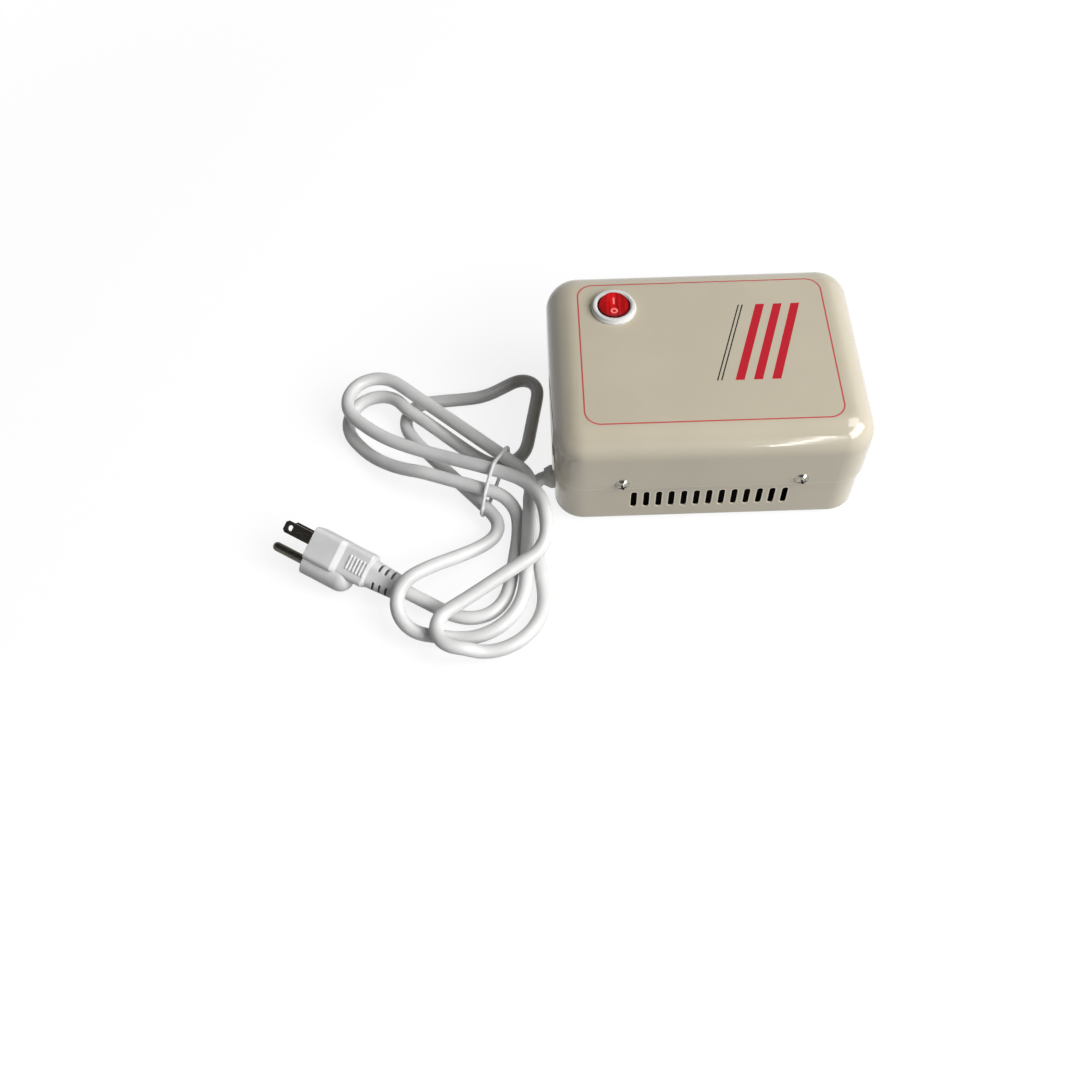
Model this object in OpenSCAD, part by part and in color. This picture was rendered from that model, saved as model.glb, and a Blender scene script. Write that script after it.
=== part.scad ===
// Step-up voltage converter: a painted steel case with a transformer inside,
// a round rocker switch, an outlet, and a mains cord tied in a hank with a moulded plug.
// Millimetres, +Z up. The origin lies under the middle of the case, on the surface it stands on.

/* [Case] */
// Length of the cover
case_l = 158; // [150:1:176]
// Width of the cover
case_w = 117; // [112:1:130]
// Height of the case above its feet
case_h = 64; // [63:1:76]
// Radius of the upright corners
corner_r = 16.5; // [15:0.5:20]
// Radius round the cover's top edge
edge_r = 14; // [8:0.5:14]
// Thickness of the sheet steel
sheet = 1; // [0.8:0.1:1.4]
// Height of the cover's lower edge above the tray's underside
seam_h = 27.5; // [26.5:0.5:28.5]
// Height of the tray wall inside the cover
lap_h = 14.5; // [11:0.5:18]
// Radius along the tray's lower edge
tray_edge_r = 2.5; // [2:0.5:4]
// Gap between the cover and the tray wall
lap_gap = 0.3; // [0.2:0.05:0.5]

/* [Vents] */
// Number of slots on the front, and on the back
vent_count = 13; // [9:1:13]
// Distance from slot to slot
vent_pitch = 6.35; // [5.5:0.05:6.5]
// Width of a slot
vent_w = 3; // [2:0.1:4]
// Height of a slot
vent_l = 12.8; // [8:0.1:14]
// Height of the slots' lower ends above the tray's underside
vent_rise = 9.8; // [8:0.1:11]

/* [Cover screws] */
// Distance of a screw from the middle of the case
screw_x = 44.5; // [38:0.5:54]
// Height of the screws above the cover's lower edge
screw_rise = 4; // [4:0.25:5.5]
// Diameter of a screw's shank
screw_d = 3.9; // [3:0.1:4]
// Diameter of a screw's head
screw_head_d = 7.2; // [6:0.1:7.6]
// Height of a screw's head
screw_head_h = 2.4; // [1.8:0.1:3]
// Thickness of a press nut
nut_h = 3; // [2:0.25:4]

/* [Feet] */
// Height of a rubber foot, which is the gap under the tray
foot_h = 2; // [1.8:0.1:4]
// Diameter of a rubber foot
foot_d = 14; // [10:0.5:16]
// Distance of a foot from the case's ends
foot_in_x = 22; // [18:0.5:24]
// Distance of a foot from the case's front and back
foot_in_y = 18; // [14:0.5:20]

/* [Switch] */
// Distance of the switch from the end of the case
switch_in_x = 34.4; // [32:0.2:36]
// Distance of the switch from the back of the case
switch_in_y = 29.4; // [27:0.2:36]
// Diameter of the hole in the cover
switch_hole_d = 20.2; // [20.2:0.1:21.2]
// Diameter of the bezel
bezel_d = 23; // [22.6:0.1:25]
// Height of the bezel above the cover
bezel_h = 2.8; // [2:0.1:3.5]
// Diameter of the rocker
rocker_d = 16.2; // [14:0.1:16.4]
// Tilt of the rocker to either side
rocker_tilt = 8; // [5:0.5:10]
// Depth of the switch below the cover
switch_depth = 15.5; // [14:0.5:17]

/* [Transformer] */
// Gap between the transformer's clamp and the cover
core_room = 5.7; // [4:0.1:8]
// Gap between the clamp's foot and the outlet
outlet_gap = 1.4; // [1:0.1:3]
// Gap between the clamp's other foot and the terminal block
term_gap = 5.4; // [3:0.1:7]
// Depth of the stack of laminations from front to back
core_stack = 58; // [48:1:60]
// Wall of the bobbin
bobbin_wall = 1.2; // [0.8:0.1:1.6]
// Thickness of the clamp's strip
clamp_t = 1.2; // [1:0.1:1.6]
// Width of the clamp's strip
clamp_w = 36; // [30:1:44]
// Length of a clamp foot
clamp_foot_l = 14; // [12:0.5:14.5]

/* [Outlet] */
// Width of the outlet's flange
outlet_w = 46; // [44:0.5:50]
// Height of the outlet's flange
outlet_h = 22; // [21:0.5:23]
// Thickness of the outlet's flange
outlet_flange_t = 1.3; // [1:0.1:2]
// Depth of the outlet behind the tray's wall
outlet_depth = 20; // [17:0.5:21]
// Depth of the recess that takes a plug's nose
recess_depth = 6.5; // [4.5:0.25:8]
// Distance between the pin holes
pin_pitch = 19; // [18:0.25:20]
// Diameter of a pin hole
pin_hole_d = 5; // [4.4:0.1:5.2]

/* [Cord and plug] */
// Diameter of the mains cord
cord_d = 7; // [6:0.25:7]
// Length of the gland outside the case
gland_out = 5.3; // [4:0.1:6]
// Distance of the gland from the front of the case
gland_in_y = 23.5; // [22.5:0.25:24.5]
// Length of the plug's moulded body
plug_l = 33; // [32:0.5:36]
// Width of the plug's flat sides
plug_w = 17.4; // [16.8:0.2:18]
// Length of the plug's thick head
head_l = 15; // [14:0.5:16.5]
// Length of the strain relief
relief_l = 20; // [19:0.5:22]
// Length of a blade outside the plug
blade_l = 15.9; // [15:0.1:18.5]
// Width of a blade
blade_w = 6.35; // [6:0.05:6.8]
// Thickness of a blade
blade_t = 1.5; // [1.3:0.05:1.7]
// Distance between the blades
blade_pitch = 12.7; // [12:0.05:13]
// Diameter of the ground pin
ground_d = 4.8; // [4.4:0.05:5]
// Length of the ground pin outside the plug
ground_l = 19; // [18:0.25:21.5]
// Distance of the ground pin from the line of the blades
ground_off = 11.9; // [11:0.1:12.2]

/* [Hidden] */
$fn = 64;

// Clearances
fit = 0.05;
slide_fit = 0.1;
loose_fit = 0.3;
cut_over = 1;

// Levels and walls of the case
seam_z = foot_h + seam_h;
top_z = foot_h + case_h;
tray_top = seam_z + lap_h;
floor_z = foot_h + sheet;
tray_l = case_l - 2 * (sheet + lap_gap);
tray_w = case_w - 2 * (sheet + lap_gap);
tray_r = corner_r - sheet - lap_gap;
tray_end = tray_l / 2;
tray_front = tray_w / 2;

// Cover screws and their nuts
screw_play = 0.25;
screw_end = 1;
screw_tip = 0.6;
nut_rim = 2;
nut_wall = 0.95;
screw_z = seam_z + screw_rise;
screw_hole_r = screw_d / 2 + screw_play;
nut_r = screw_d / 2 + nut_rim;
nut_shank_r = screw_d / 2 + nut_wall;
screw_l = sheet + lap_gap + sheet + nut_h + screw_end;
cross_w = 0.9;
cross_l = 4;
cross_depth = 1.3;
cross_turn = 20;

// Feet
foot_x = case_l / 2 - foot_in_x;
foot_y = case_w / 2 - foot_in_y;
foot_stem_r = 2.4;
foot_barb_r = 3.1;
foot_barb_h = 3;
foot_hole_r = foot_stem_r + slide_fit;
foot_edge_r = 0.8;
foot_nose_r = 1.8;

// Switch
switch_x = switch_in_x - case_l / 2;
switch_y = case_w / 2 - switch_in_y;
barrel_play = 0.2;
barrel_r = switch_hole_d / 2 - barrel_play;
rocker_r = rocker_d / 2;
rocker_well_r = rocker_r + loose_fit;
pivot_rise = 0.3;
pivot_z = top_z + pivot_rise;
well_floor = pivot_z - rocker_r - loose_fit;
bezel_lip = 0.8;
bezel_slope = 0.5;
crown_w = 0.7;
crown_drop = 0.2;
well_drop = 0.7;
rocker_dish_r = 26;
rocker_dish_low = 2.2;
rocker_keel = 5;
pin_r = 1.25;
pin_hole_r = pin_r + fit;
pin_out = 0.8;
pin_reach = rocker_well_r + pin_out;
pin_root = 2;
barrel_skin = 0.4;
snap_depth = 0.6;
snap_root = 1;
snap_l = 6;
snap_angle = 30;
tab_w = 6.3;
tab_t = 0.8;
tab_l = 8;
tab_seat = 3;
tab_pitch = 5;
tab_hole_r = 0.9;
tab_hole_rise = 2;

// Terminal block and earth stud
stud_in = 3;
term_in = 14;
term_y = -8;
term_l = 32;
term_w = 18;
term_h = 15;
term_x = sheet + term_in + term_w / 2 - tray_end;
term_end = term_x + term_w / 2;
term_step = 4;
pole_pitch = 10;
pole_w = 7.6;
pole_well_r = 2.6;
pole_wire_r = 2;
pole_wire_z = 4.5;
pole_well_depth = 7;
pole_screw_x = 4.5;
pole_screw_h = 4;
pole_slot_w = 0.8;
pole_slot_depth = 1;
peg_r = 1.9;
peg_y = 12.8;
peg_root = 1;
stud_x = term_x + stud_in;
stud_y = 20;
stud_r = 2;
stud_h = 12;
stud_disc_r = 5;
stud_disc_t = 1;
lug_t = 0.8;
lug_r = 4;
lug_l = 10;
lug_w = 3;

// Outlet
outlet_rise = 14;
outlet_z = foot_h + outlet_rise;
outlet_edge_r = 5;
window_fit = 0.2;
body_in = 2;
body_r = outlet_edge_r - body_in;
body_w = outlet_w - 2 * body_in;
body_h = outlet_h - 2 * body_in;
recess_wall_z = 1.9;
recess_wall_y = 2.9;
recess_h = body_h - 2 * recess_wall_z;
recess_w = body_w - 2 * recess_wall_y;
outlet_face = tray_end + outlet_flange_t;
recess_floor = outlet_face - recess_depth;
outlet_back = tray_end - outlet_depth;
pin_guide_l = 6.5;
sleeve_seat = recess_floor - pin_guide_l;
sleeve_wall = 0.8;
sleeve_bore_r = pin_hole_d / 2 + loose_fit;
sleeve_r = sleeve_bore_r + sleeve_wall;
sleeve_out = 6;
barb_h = 0.8;
barb_flat = 1;
barb_l = 6;
barb_w = 8;

// Transformer
core_l = outlet_back - outlet_gap - term_end - term_gap - 2 * (clamp_foot_l + clamp_t + slide_fit);
core_x = term_end + term_gap + clamp_foot_l + clamp_t + slide_fit + core_l / 2;
core_h = case_h - 2 * sheet - core_room - clamp_t - slide_fit;
lam_count = 6;
lam = core_l / lam_count;
window_h = core_h - 2 * lam;
bobbin_z = floor_z + lam + loose_fit;
bobbin_h = window_h - 2 * loose_fit;
bobbin_in_x = lam + loose_fit;
bobbin_in_y = core_stack / 2 + loose_fit;
window_play = 0.5;
flange_lip = 0.7;
flange_x = 2 * lam - window_play;
flange_y = core_stack / 2 + lam - window_play;
winding_x = flange_x - flange_lip;
winding_y = flange_y - flange_lip;
winding_r = 2;
cutout_l = 16;
cutout_h = 10;
cutout_t = 4;
cutout_lead_r = 0.6;
cutout_lead_l = 5;
cutout_lead_in = 1;
cutout_edge_r = 1.5;

// Clamp and its bolts
clamp_side = core_l / 2 + slide_fit + clamp_t;
bolt_x = clamp_side + clamp_foot_l / 2;
bolt_in = 8;
bolt_y = clamp_w / 2 - bolt_in;
bolt_r = 1.95;
bolt_play = 0.2;
bolt_hole_r = bolt_r + bolt_play;
bolt_head_r = 3.8;
bolt_lift = 0.5;
bolt_head_h = foot_h - bolt_lift;
bolt_end = 1;
hex_r = 4;
hex_h = 3.2;
hex_bore_r = bolt_r + fit;

// Gland
cord_r = cord_d / 2;
gland_bore_r = cord_r + slide_fit;
gland_wall = 0.8;
gland_neck_r = gland_bore_r + gland_wall;
gland_hole_r = gland_neck_r + slide_fit;
gland_rim = 1.7;
gland_flange_r = gland_neck_r + gland_rim;
gland_flange_t = 2;
gland_tip_r = gland_bore_r + gland_wall;
gland_in = 15;
gland_nut_wall = 0.9;
gland_nut_flat = gland_neck_r + gland_nut_wall;
gland_nut_h = 3;
gland_z = foot_h + tray_edge_r + gland_nut_flat;
gland_y = gland_in_y - case_w / 2;
gland_mouth = -tray_end - gland_out;
gland_inner = -tray_end + gland_in;

// Cord: heights of the centreline on the floor and on other runs
lay = cord_r + slide_fit;
end_run = cord_d;
end_clear = 2;

// Lead from the gland to the hank, by hand
lead_points = [
    [-85.6, -35.5, 9], [-88, -37.2, 7.3], [-90, -39.8, 5.6],
    [-91.2, -43.2, 4.4], [-91.3, -47.2, 3.8], [-90.6, -51.5, lay]
];

// Pegs that the hank's cord is led round: x, y, radius, turn (1 left, -1 right), height in, height out
pegs = [
    [-89, -63, 0, 1, lay, lay],
    [-116, -104, 31, -1, lay, 6],
    [-127.5, -125, 10.5, -1, 12.8, 13.8],
    [-98, -76, 15.5, 1, 18.5, 23],
    [-114, -69, 31, 1, 23.8, 21],
    [-122.5, 56, 80, -1, 16.5, 15.5],
    [-172, 14.5, 16, -1, 15.5, 16],
    [-147, 14, 0, 1, 15.2, 15.2],
    [-104, -43, 14, -1, 14.6, 14.5],
    [-124, -96, 30, -1, 7.5, lay],
    [-143.6, -111, 13.5, -1, 6.2, 19.2],
    [-118, -63, 11, 1, 6.4, 6.4],
    [-122, 16, 36, -1, lay, lay],
    [-143.5, 8.5, 14, -1, lay, lay],
    [-124, 54, 30, 1, lay, lay],
    [-93, 28, 8.5, -1, lay, lay],
    [-106, -7, 15, -1, lay, lay],
    [-157, 12, 0, 1, 11.5, 11.5],
    [-172.5, 7.5, 16, 1, 11.3, lay],
    [-121, 38, 75, 1, lay, 13.9],
    [-112, -62, 15.5, -1, 13.9, 4.6],
    [-98.5, -76, 0, 1, 4, 4]
];

// Tail from the hank to the plug, by hand
tail_points = [
    [-100.9, -90, lay], [-102.3, -98, lay], [-104.4, -104.6, lay], [-108, -109.6, lay],
    [-112.3, -112.8, lay], [-117.3, -114.5, lay], [-122.8, -114.8, lay], [-128.6, -113.4, 3.8],
    [-134.3, -110.9, 4.4], [-140, -107.8, 5.3]
];
tail_end = [-153.4, -100.5, 7.3];
plug_heading = 151;
plug_rise = 7.2;
plug_roll = 29;

// Rings and sides of the cord
full_turn = 360;
most_turn = 350;
arc_step = 15;
leg_step = 18;
fine_arc = 6;
fine_leg = 4;
gap_skip = 9;
hank_sides = 6;
tube_sides = 8;

// Tie round the hank
tie_at = [-108, -36];
tie_heading = 157;
tie_fit = 1.6;
tie_t = 1;
tie_w = 2;
tie_reach = 25;
tie_lift = 1.5;
tie_floor = cord_r + tie_lift;

// Plug, measured from the cord's end of its strain relief along the cord's axis, ground side at +Y
plug_back = relief_l;
plug_face = relief_l + plug_l;
relief_side_1 = 2.7;
relief_side_2 = 3.8;
relief_top_1 = 1.5;
relief_top_2 = 2.4;
relief_edge_r = 4.6;
relief_end = [cord_r + relief_side_1, cord_r + relief_top_1];
relief_root = [cord_r + relief_side_2, cord_r + relief_top_2];
blade_y = -2.2;
blade_cover = 2.3;
blade_side = 3.825;
plug_mid = blade_y - blade_w / 2 - blade_side + plug_w / 2;
head_half = blade_pitch / 2 + blade_t / 2 + blade_cover;
head_drop = 2.5;
rear_half = head_half - head_drop;
slope_l = 2.6;
bevel_l = 1.2;
bevel_in = 1.1;
plug_edge_r = 2.6;
slice_t = 0.1;
ground_y = blade_y + ground_off;
bulge_r = 7;
bulge_wall = 3.8;
bulge_y = ground_y + ground_d / 2 + bulge_wall - bulge_r;
bulge_l = 19.8;
grip_count = 6;
grip_pitch = 1.88;
grip_w = 0.9;
grip_h = 0.5;
grip_l = 7.4;
grip_first = 1.75;
slot_count = 4;
slot_pitch = 3.6;
slot_first = 4.5;
slot_w = 1.25;
slot_l = 5.4;
slot_depth = 1.9;
blade_in = 8;
blade_hole_r = 1.5;
blade_hole_in = 3.4;
blade_tip = 1.2;
ground_in = 9;

// Vectors and angles
function unit(v) = v / norm(v);
function heading_dir(h) = [cos(h), sin(h), 0];
function blend(t) = t * t * (3 - 2 * t);

// Heading of the straight leg between two pegs, and where it leaves or reaches a peg
function leg_heading(a, b) =
    let (d = [b.x - a.x, b.y - a.y])
    atan2(d.y, d.x) + asin((a[3] * a[2] - b[3] * b[2]) / norm(d));
function on_peg(p, h, z) = [p.x + p[3] * p[2] * sin(h), p.y - p[3] * p[2] * cos(h), z];
function turn_angle(p, h0, h1) =
    let (t = ((h1 - h0) * p[3] % full_turn + full_turn) % full_turn)
    p[2] == 0 ? 0 : t > most_turn ? t - full_turn : t;

// Points round peg i, and along the leg that follows it
function peg_points(i, da) =
    let (p = pegs[i])
    let (last = len(pegs) - 1)
    let (h0 = leg_heading(pegs[max(i - 1, 0)], pegs[max(i, 1)]))
    let (h1 = leg_heading(pegs[min(i, last - 1)], pegs[min(i + 1, last)]))
    let (turn = i == 0 || i == last ? 0 : turn_angle(p, h0, h1))
    let (n = max(1, ceil(abs(turn) / da)))
    turn == 0
        ? [on_peg(p, i == last ? h0 : h1, p[5])]
        : [for (k = [0:n]) on_peg(p, h0 + p[3] * turn * k / n, p[4] + (p[5] - p[4]) * k / n)];
function leg_points(i, dl) =
    let (h = leg_heading(pegs[i], pegs[i + 1]))
    let (a = on_peg(pegs[i], h, pegs[i][5]))
    let (b = on_peg(pegs[i + 1], h, pegs[i + 1][4]))
    let (n = ceil(norm([b.x - a.x, b.y - a.y]) / dl))
    n < 2 ? [] : [for (k = [1:n - 1])
        let (t = k / n)
        [a.x + (b.x - a.x) * t, a.y + (b.y - a.y) * t, a.z + (b.z - a.z) * blend(t)]];
function hank_route(da, dl) = [for (i = [0:len(pegs) - 1])
    each concat(peg_points(i, da), i < len(pegs) - 1 ? leg_points(i, dl) : [])];

// The hank's ends run straight and level with the stretches that they meet
hank_start_dir = heading_dir(leg_heading(pegs[0], pegs[1]));
hank_end_dir = heading_dir(leg_heading(pegs[len(pegs) - 2], pegs[len(pegs) - 1]));
hank_start = [pegs[0].x, pegs[0].y, pegs[0][4]];
hank_end = [pegs[len(pegs) - 1].x, pegs[len(pegs) - 1].y, pegs[len(pegs) - 1][5]];
function hank_points(da, dl) =
    let (r = hank_route(da, dl))
    let (n = len(r))
    concat([hank_start, hank_start + hank_start_dir * end_run],
        [for (i = [1:n - 2])
            if (min(norm(r[i] - hank_start), norm(r[i] - hank_end)) > end_run + end_clear) r[i]],
        [hank_end - hank_end_dir * end_run, hank_end]);
plug_dir = [cos(plug_heading) * cos(plug_rise), sin(plug_heading) * cos(plug_rise), sin(plug_rise)];
lead_path = concat(
    [[gland_inner, gland_y, gland_z], [gland_mouth, gland_y, gland_z]],
    lead_points,
    [hank_start - hank_start_dir * end_run, hank_start]);
tail_path = concat(
    [hank_end, hank_end + hank_end_dir * end_run],
    tail_points,
    [tail_end - plug_dir * end_run, tail_end]);

// Least clear distance between two runs of the hank, from points along it
function path_length(p, i = 1) = i < len(p) ? norm(p[i] - p[i - 1]) + path_length(p, i + 1) : 0;
function self_gap(p, skip) = min([for (i = [0:len(p) - 1]) for (j = [i + skip:1:len(p) - 1])
    norm(p[i] - p[j])]) - cord_d;

// Tube along a path: rings of points square to it, joined by triangles
function path_dir(p, i) = unit(p[min(i + 1, len(p) - 1)] - p[max(i - 1, 0)]);
function ring(p, i, r, sides) =
    let (t = path_dir(p, i))
    let (side = unit(cross(t, [0, 0, 1])))
    let (up = cross(side, t))
    [for (k = [0:sides - 1]) p[i] + r * (side * cos(90 + 360 * k / sides) + up * sin(90 + 360 * k / sides))];
module tube(path, r, sides) {
    n = len(path);
    points = [for (i = [0:n - 1]) each ring(path, i, r, sides)];
    walls = [for (i = [0:n - 2]) for (k = [0:sides - 1])
        let (a = i * sides + k)
        let (b = i * sides + (k + 1) % sides)
        each [[a, b, a + sides], [b, b + sides, a + sides]]];
    first = [for (k = [1:sides - 2]) [0, k + 1, k]];
    last = [for (k = [1:sides - 2]) [(n - 1) * sides, (n - 1) * sides + k, (n - 1) * sides + k + 1]];
    polyhedron(points, concat(walls, first, last));
}

// Rectangle with round corners
module round_rect(w, h, r) {
    square([w - 2 * r, h], center = true);
    square([w, h - 2 * r], center = true);
    for (x = [-1, 1], y = [-1, 1])
        translate([x * (w / 2 - r), y * (h / 2 - r)]) circle(r);
}

// Upright slot with round ends, its lower end at the origin
module slot_shape(w, l) {
    translate([-w / 2, w / 2]) square([w, l - w]);
    translate([0, w / 2]) circle(w / 2);
    translate([0, l - w / 2]) circle(w / 2);
}

// Half of a section with a round top corner
module edge_section(reach, h, r) {
    square([reach - r, h]);
    square([reach, h - r]);
    translate([reach - r, h - r]) intersection() {
        circle(r);
        square(r);
    }
}

// Box with upright corners of one radius and a top edge of another
module pressed_box(l, w, h, rc, re) {
    for (a = [0, 180])
        rotate([0, 0, a]) {
            rotate([90, 0, 90]) linear_extrude(l - 2 * rc, center = true) edge_section(w / 2, h, re);
            rotate([90, 0, 0]) linear_extrude(w - 2 * rc, center = true) edge_section(l / 2, h, re);
        }
    for (q = [[1, 1, 0], [-1, 1, 90], [-1, -1, 180], [1, -1, 270]])
        translate([q.x * (l / 2 - rc), q.y * (w / 2 - rc), 0]) rotate([0, 0, q.z])
            rotate_extrude(angle = 90) edge_section(rc, h, re);
}

// Open shell of even thickness, closed at the top
module pressed_shell(l, w, h, rc, re, t) {
    difference() {
        pressed_box(l, w, h, rc, re);
        translate([0, 0, -cut_over]) pressed_box(l - 2 * t, w - 2 * t, h - t + cut_over, rc - t, re - t);
    }
}

// Places of the cover screws: the child's Z points out of the case
module at_cover_screws(y) {
    for (x = [-1, 1], s = [-1, 1])
        translate([x * screw_x, s * y, screw_z]) rotate([-90 * s, 0, 0]) children();
}

module at_feet() {
    for (x = [-1, 1], y = [-1, 1])
        translate([x * foot_x, y * foot_y, 0]) children();
}

module at_clamp_bolts() {
    for (x = [-1, 1], y = [-1, 1])
        translate([core_x + x * bolt_x, y * bolt_y, 0]) children();
}

module at_outlet_pins(x) {
    for (y = [-1, 1])
        translate([x, y * pin_pitch / 2, outlet_z]) rotate([0, 90, 0]) children();
}

module at_plug() {
    translate(tail_end) rotate([0, -plug_rise, plug_heading]) rotate([-plug_roll, 0, 0]) children();
}

module hex_nut(h, r, bore) {
    difference() {
        cylinder(h, r = r, $fn = 6);
        translate([0, 0, -cut_over]) cylinder(h + 2 * cut_over, r = bore);
    }
}

// Pressed cover with the switch hole and the screw holes
module top_cover() {
    color([0.77, 0.74, 0.66]) difference() {
        translate([0, 0, seam_z]) pressed_shell(case_l, case_w, case_h - seam_h, corner_r, edge_r, sheet);
        translate([switch_x, switch_y, top_z - sheet - cut_over])
            cylinder(sheet + 2 * cut_over, d = switch_hole_d);
        at_cover_screws(case_w / 2 - sheet - cut_over) cylinder(sheet + 2 * cut_over, r = screw_hole_r);
    }
}

// Pressed tray with vent slots, its wall reaching up inside the cover
module base_tray() {
    color([0.71, 0.68, 0.6]) difference() {
        translate([0, 0, tray_top]) mirror([0, 0, 1])
            pressed_shell(tray_l, tray_w, seam_h + lap_h, tray_r, tray_edge_r, sheet);
        for (i = [0:vent_count - 1])
            translate([(i - (vent_count - 1) / 2) * vent_pitch, 0, foot_h + vent_rise]) rotate([90, 0, 0])
                linear_extrude(case_w, center = true) slot_shape(vent_w, vent_l);
        at_cover_screws(tray_front - sheet - cut_over)
            cylinder(sheet + 2 * cut_over, r = nut_shank_r + fit);
        at_feet() cylinder(floor_z + cut_over, r = foot_hole_r);
        at_clamp_bolts() cylinder(floor_z + cut_over, r = bolt_hole_r);
        for (y = [-1, 1])
            translate([term_x, term_y + y * peg_y, 0]) cylinder(floor_z + cut_over, r = peg_r + slide_fit);
        translate([-tray_end - cut_over, gland_y, gland_z]) rotate([0, 90, 0])
            cylinder(sheet + 2 * cut_over, r = gland_hole_r);
        translate([tray_end - sheet - cut_over, 0, outlet_z]) rotate([90, 0, 90])
            linear_extrude(sheet + 2 * cut_over)
                round_rect(body_w + 2 * window_fit, body_h + 2 * window_fit, body_r + window_fit);
    }
}

// Pan-head screws with a cross recess
module cover_screws() {
    dome_r = (pow(screw_head_d / 2, 2) + pow(screw_head_h, 2)) / (2 * screw_head_h);
    color([0.78, 0.78, 0.76]) at_cover_screws(case_w / 2) difference() {
        union() {
            intersection() {
                translate([0, 0, screw_head_h - dome_r]) sphere(dome_r);
                cylinder(screw_head_h + cut_over, d = screw_head_d + 2 * cut_over);
            }
            translate([0, 0, -screw_l + screw_tip]) cylinder(screw_l - screw_tip, d = screw_d);
            translate([0, 0, -screw_l]) cylinder(screw_tip, d1 = screw_d - 2 * screw_tip, d2 = screw_d);
        }
        for (a = [0, 90])
            rotate([0, 0, a + cross_turn]) translate([0, 0, screw_head_h - cross_depth / 2 + cut_over / 2])
                cube([cross_l, cross_w, cross_depth + cut_over], center = true);
    }
}

// Nuts pressed into the tray's wall from inside
module press_nuts() {
    color([0.7, 0.7, 0.68]) at_cover_screws(tray_front - sheet) difference() {
        union() {
            translate([0, 0, -nut_h]) cylinder(nut_h, r = nut_r);
            cylinder(sheet, r = nut_shank_r);
        }
        translate([0, 0, -nut_h - cut_over]) cylinder(nut_h + sheet + 2 * cut_over, r = screw_d / 2 + fit);
    }
}

// Rubber feet, pulled through the tray's floor by a barbed stem
module rubber_feet() {
    color([0.12, 0.12, 0.12]) at_feet() rotate_extrude() {
        square([foot_d / 2 - foot_edge_r, foot_h]);
        translate([0, foot_edge_r]) square([foot_d / 2, foot_h - foot_edge_r]);
        translate([foot_d / 2 - foot_edge_r, foot_edge_r]) circle(foot_edge_r);
        square([foot_stem_r, floor_z + slide_fit]);
        translate([0, floor_z + slide_fit]) polygon([
            [0, 0], [foot_barb_r, 0], [foot_nose_r, foot_barb_h], [0, foot_barb_h]]);
    }
}

// Bezel and barrel of the switch, with the rocker's well and the terminals' slots
module switch_body() {
    crown = (rocker_well_r + bezel_d / 2) / 2;
    color([0.93, 0.93, 0.92]) translate([switch_x, switch_y, 0]) difference() {
        union() {
            translate([0, 0, top_z]) rotate_extrude() {
                polygon([
                    [0, 0], [bezel_d / 2, 0], [bezel_d / 2, bezel_lip],
                    [bezel_d / 2 - bezel_slope, 2 * bezel_lip],
                    [crown + crown_w, bezel_h - crown_drop], [crown, bezel_h],
                    [crown - crown_w, bezel_h - crown_drop / 2],
                    [rocker_well_r, bezel_h - well_drop], [0, bezel_h - well_drop]]);
            }
            translate([0, 0, top_z - switch_depth]) cylinder(switch_depth, r = barrel_r);
            for (a = [0, 180])
                rotate([0, 0, a - snap_angle / 2]) translate([0, 0, top_z - sheet])
                    rotate_extrude(angle = snap_angle) polygon([
                        [barrel_r - snap_root, -slide_fit], [barrel_r + snap_depth, -slide_fit],
                        [barrel_r + snap_depth, -snap_root], [barrel_r - snap_root, -snap_l]]);
        }
        translate([0, 0, well_floor]) cylinder(top_z, r = rocker_well_r);
        translate([barrel_skin - barrel_r, 0, pivot_z]) rotate([0, 90, 0])
            cylinder(2 * (barrel_r - barrel_skin), r = pin_hole_r);
        for (i = [-1:1])
            translate([0, i * tab_pitch, top_z - switch_depth + tab_seat / 2 - cut_over / 2])
                cube([tab_w + 2 * fit, tab_t + 2 * fit, tab_seat + cut_over], center = true);
    }
}

// Rocker with a dished top on two pins, resting with its front side pressed
module switch_rocker() {
    color([0.82, 0.06, 0.06]) translate([switch_x, switch_y, pivot_z]) rotate([rocker_tilt, 0, 0]) {
        difference() {
            sphere(rocker_r);
            translate([-rocker_d, 0, rocker_dish_low + rocker_dish_r]) rotate([0, 90, 0])
                cylinder(2 * rocker_d, r = rocker_dish_r, $fn = 96);
            translate([-rocker_d, -rocker_d, -2 * rocker_d - rocker_keel]) cube(2 * rocker_d);
        }
        for (s = [0, 180])
            rotate([0, 0, s]) translate([rocker_r - pin_root, 0, 0]) rotate([0, 90, 0])
                cylinder(pin_reach - rocker_r + pin_root, r = pin_r);
    }
}

// Push-on tabs under the switch
module switch_terminals() {
    color([0.8, 0.68, 0.35]) translate([switch_x, switch_y, top_z - switch_depth]) for (i = [-1:1])
        difference() {
            translate([-tab_w / 2, i * tab_pitch - tab_t / 2, -tab_l]) cube([tab_w, tab_t, tab_l + tab_seat]);
            translate([0, i * tab_pitch + tab_t, tab_hole_rise - tab_l]) rotate([90, 0, 0])
                cylinder(2 * tab_t, r = tab_hole_r);
        }
}

// Stack of laminations with a window on either side of the middle leg
module core_laminations() {
    color([0.32, 0.33, 0.35]) translate([core_x, 0, floor_z]) rotate([90, 0, 0])
        linear_extrude(core_stack, center = true) difference() {
            translate([-core_l / 2, 0]) square([core_l, core_h]);
            for (x = [-2, 1])
                translate([x * lam, lam]) square([lam, window_h]);
        }
}

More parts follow.
